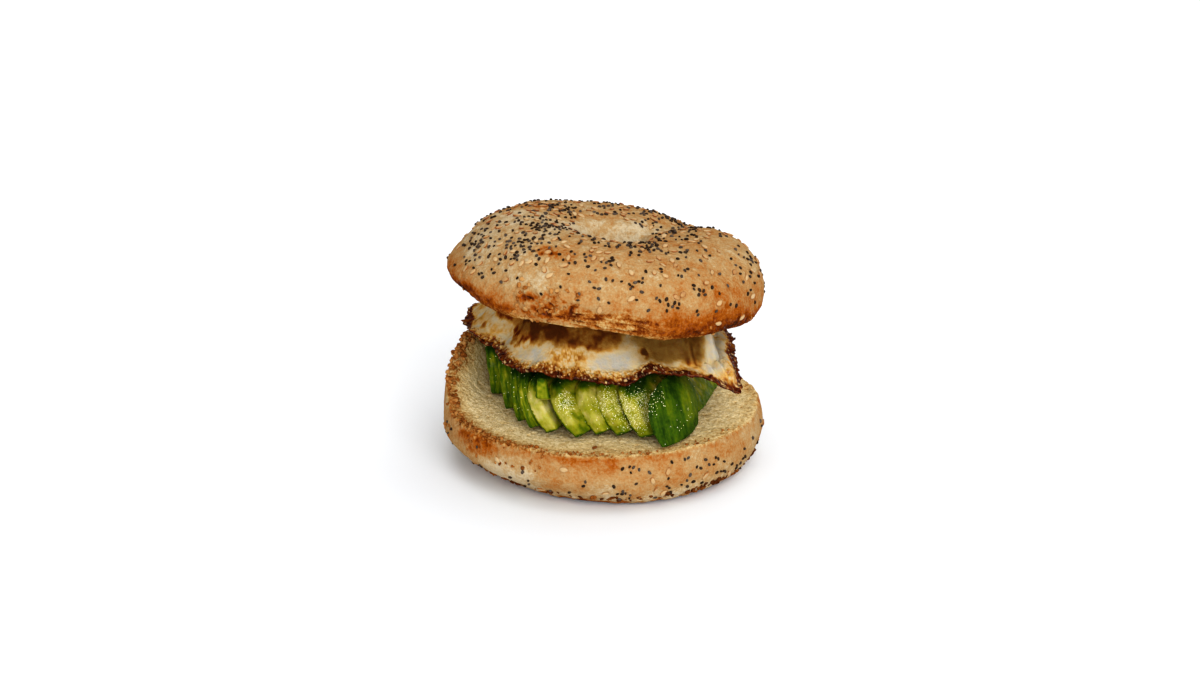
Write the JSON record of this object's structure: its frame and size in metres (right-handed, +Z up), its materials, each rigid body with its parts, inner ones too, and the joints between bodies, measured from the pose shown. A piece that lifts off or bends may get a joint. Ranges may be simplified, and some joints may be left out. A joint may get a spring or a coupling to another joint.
{
  "type": "bagel sandwich",
  "caption": "Seeded bagel sandwich with fanned avocado slices and a crisp-edged fried egg between its halves; the top half tilts to show the filling.",
  "frame": {"origin": "the table under the middle of the bottom half", "axes": "+Z up, -Y towards the front, where the fanned slices and the crisp egg edge show, +X to the right seen from the front"},
  "size_m": [0.1113, 0.1108, 0.0874],
  "materials": {
    "bottom_crust": "baked crust, dry and matte",
    "top_crust": "baked crust, dry with a faint sheen",
    "egg_white": "fried, moist and oily",
    "avocado_flesh": "moist, smooth and glossy"
  },
  "bodies": {
    "root": {"bagel_bottom": "bottom_crust", "bagel_top": "top_crust", "fried_egg": "egg_white", "avocado_slice_01": "avocado_flesh", "avocado_slice_02": "avocado_flesh", "avocado_slice_03": "avocado_flesh", "avocado_slice_04": "avocado_flesh", "avocado_slice_05": "avocado_flesh", "avocado_slice_06": "avocado_flesh", "avocado_slice_07": "avocado_flesh", "avocado_slice_08": "avocado_flesh", "avocado_slice_09": "avocado_flesh", "avocado_slice_10": "avocado_flesh", "avocado_end": "avocado_flesh", "avocado_scrap": "avocado_flesh"}
  },
  "joints": []
}
